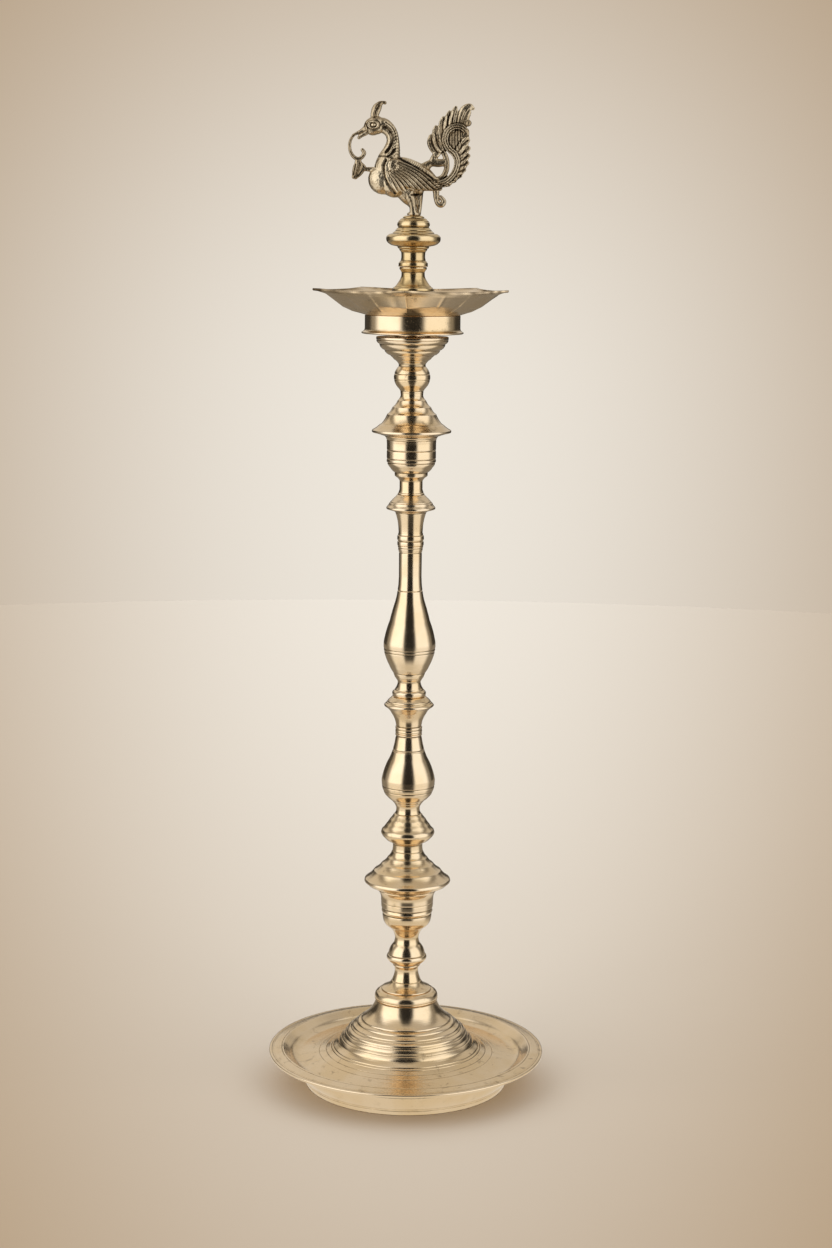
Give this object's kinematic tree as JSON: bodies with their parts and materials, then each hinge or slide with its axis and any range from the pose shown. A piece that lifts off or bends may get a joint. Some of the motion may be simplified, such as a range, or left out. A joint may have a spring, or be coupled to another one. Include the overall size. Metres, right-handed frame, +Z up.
{
  "type": "standing oil lamp",
  "caption": "Tall turned brass oil lamp: dish base, screwed stem sections, beaked wick bowl and a bird finial on a knob.",
  "frame": {"origin": "middle of the base, on the floor", "axes": "+Z up the stem, -X the way the bird looks"},
  "size_m": [0.2556, 0.2556, 0.9141],
  "materials": {
    "polished_brass": "turned and polished, with light tarnish in the grooves",
    "aged_brass": "cast, dark in the recesses and rubbed bright on the high parts"
  },
  "bodies": {
    "base": {"base_dish": "polished_brass", "base_skirt": "polished_brass"},
    "lower_cup_section_stud": {"lower_cup_section_stud": "polished_brass"},
    "lower_cup_section": {"lower_cup_section": "polished_brass"},
    "lower_vase_section_stud": {"lower_vase_section_stud": "polished_brass"},
    "lower_vase_section": {"lower_vase_section": "polished_brass"},
    "collar_section_stud": {"collar_section_stud": "polished_brass"},
    "collar_section": {"collar_section": "polished_brass"},
    "tall_vase_section_stud": {"tall_vase_section_stud": "polished_brass"},
    "tall_vase_section": {"tall_vase_section": "polished_brass"},
    "trumpet_section_stud": {"trumpet_section_stud": "polished_brass"},
    "trumpet_section": {"trumpet_section": "polished_brass"},
    "upper_cup_section_stud": {"upper_cup_section_stud": "polished_brass"},
    "upper_cup_section": {"upper_cup_section": "polished_brass"},
    "bowl_support_stud": {"bowl_support_stud": "polished_brass"},
    "bowl_support": {"bowl_support": "polished_brass"},
    "bowl_stud": {"bowl_stud": "polished_brass"},
    "wick_bowl": {"wick_bowl": "polished_brass", "bowl_foot_ring": "polished_brass", "bowl_boss": "polished_brass"},
    "finial_post_stud": {"finial_post_stud": "polished_brass"},
    "finial_post": {"finial_post": "polished_brass"},
    "finial_knob_stud": {"finial_knob_stud": "polished_brass"},
    "finial_knob": {"finial_knob": "polished_brass", "bird_finial": "aged_brass"}
  },
  "joints": [
    {"name": "lower_cup_section_lift", "type": "slide", "parent": "base", "child": "lower_cup_section_stud", "axis": [0, 0, 1], "range_m": [0, 0.01]},
    {"name": "lower_cup_section_turn", "type": "hinge", "parent": "lower_cup_section_stud", "child": "lower_cup_section", "pos_m": [0, 0, 0.0871], "axis": [0, 0, 1], "range_deg": [0, 1800]},
    {"name": "lower_vase_section_lift", "type": "slide", "parent": "lower_cup_section", "child": "lower_vase_section_stud", "axis": [0, 0, 1], "range_m": [0, 0.01]},
    {"name": "lower_vase_section_turn", "type": "hinge", "parent": "lower_vase_section_stud", "child": "lower_vase_section", "pos_m": [0, 0, 0.1827], "axis": [0, 0, 1], "range_deg": [0, 1800]},
    {"name": "collar_section_lift", "type": "slide", "parent": "lower_vase_section", "child": "collar_section_stud", "axis": [0, 0, 1], "range_m": [0, 0.01]},
    {"name": "collar_section_turn", "type": "hinge", "parent": "collar_section_stud", "child": "collar_section", "pos_m": [0, 0, 0.329], "axis": [0, 0, 1], "range_deg": [0, 1800]},
    {"name": "tall_vase_section_lift", "type": "slide", "parent": "collar_section", "child": "tall_vase_section_stud", "axis": [0, 0, 1], "range_m": [0, 0.01]},
    {"name": "tall_vase_section_turn", "type": "hinge", "parent": "tall_vase_section_stud", "child": "tall_vase_section", "pos_m": [0, 0, 0.3637], "axis": [0, 0, 1], "range_deg": [0, 1800]},
    {"name": "trumpet_section_lift", "type": "slide", "parent": "tall_vase_section", "child": "trumpet_section_stud", "axis": [0, 0, 1], "range_m": [0, 0.01]},
    {"name": "trumpet_section_turn", "type": "hinge", "parent": "trumpet_section_stud", "child": "trumpet_section", "pos_m": [0, 0, 0.5047], "axis": [0, 0, 1], "range_deg": [0, 1800]},
    {"name": "upper_cup_section_lift", "type": "slide", "parent": "trumpet_section", "child": "upper_cup_section_stud", "axis": [0, 0, 1], "range_m": [0, 0.01]},
    {"name": "upper_cup_section_turn", "type": "hinge", "parent": "upper_cup_section_stud", "child": "upper_cup_section", "pos_m": [0, 0, 0.552], "axis": [0, 0, 1], "range_deg": [0, 1800]},
    {"name": "bowl_support_lift", "type": "slide", "parent": "upper_cup_section", "child": "bowl_support_stud", "axis": [0, 0, 1], "range_m": [0, 0.01]},
    {"name": "bowl_support_turn", "type": "hinge", "parent": "bowl_support_stud", "child": "bowl_support", "pos_m": [0, 0, 0.606], "axis": [0, 0, 1], "range_deg": [0, 1800]},
    {"name": "bowl_lift", "type": "slide", "parent": "bowl_support", "child": "bowl_stud", "axis": [0, 0, 1], "range_m": [0, 0.01]},
    {"name": "bowl_turn", "type": "hinge", "parent": "bowl_stud", "child": "wick_bowl", "pos_m": [0, 0, 0.698], "axis": [0, 0, 1], "range_deg": [0, 1800]},
    {"name": "finial_post_lift", "type": "slide", "parent": "wick_bowl", "child": "finial_post_stud", "axis": [0, 0, 1], "range_m": [0, 0.01]},
    {"name": "finial_post_turn", "type": "hinge", "parent": "finial_post_stud", "child": "finial_post", "pos_m": [0, 0, 0.7204], "axis": [0, 0, 1], "range_deg": [0, 1800]},
    {"name": "finial_knob_lift", "type": "slide", "parent": "finial_post", "child": "finial_knob_stud", "axis": [0, 0, 1], "range_m": [0, 0.01]},
    {"name": "finial_knob_turn", "type": "hinge", "parent": "finial_knob_stud", "child": "finial_knob", "pos_m": [0, 0, 0.7619], "axis": [0, 0, 1], "range_deg": [0, 1800]}
  ],
  "couplings": [
    {"joint": "lower_cup_section_turn", "follows": "lower_cup_section_lift", "rad_per_m": 3141.6},
    {"joint": "lower_vase_section_turn", "follows": "lower_vase_section_lift", "rad_per_m": 3141.6},
    {"joint": "collar_section_turn", "follows": "collar_section_lift", "rad_per_m": 3141.6},
    {"joint": "tall_vase_section_turn", "follows": "tall_vase_section_lift", "rad_per_m": 3141.6},
    {"joint": "trumpet_section_turn", "follows": "trumpet_section_lift", "rad_per_m": 3141.6},
    {"joint": "upper_cup_section_turn", "follows": "upper_cup_section_lift", "rad_per_m": 3141.6},
    {"joint": "bowl_support_turn", "follows": "bowl_support_lift", "rad_per_m": 3141.6},
    {"joint": "bowl_turn", "follows": "bowl_lift", "rad_per_m": 3141.6},
    {"joint": "finial_post_turn", "follows": "finial_post_lift", "rad_per_m": 3141.6},
    {"joint": "finial_knob_turn", "follows": "finial_knob_lift", "rad_per_m": 3141.6}
  ]
}
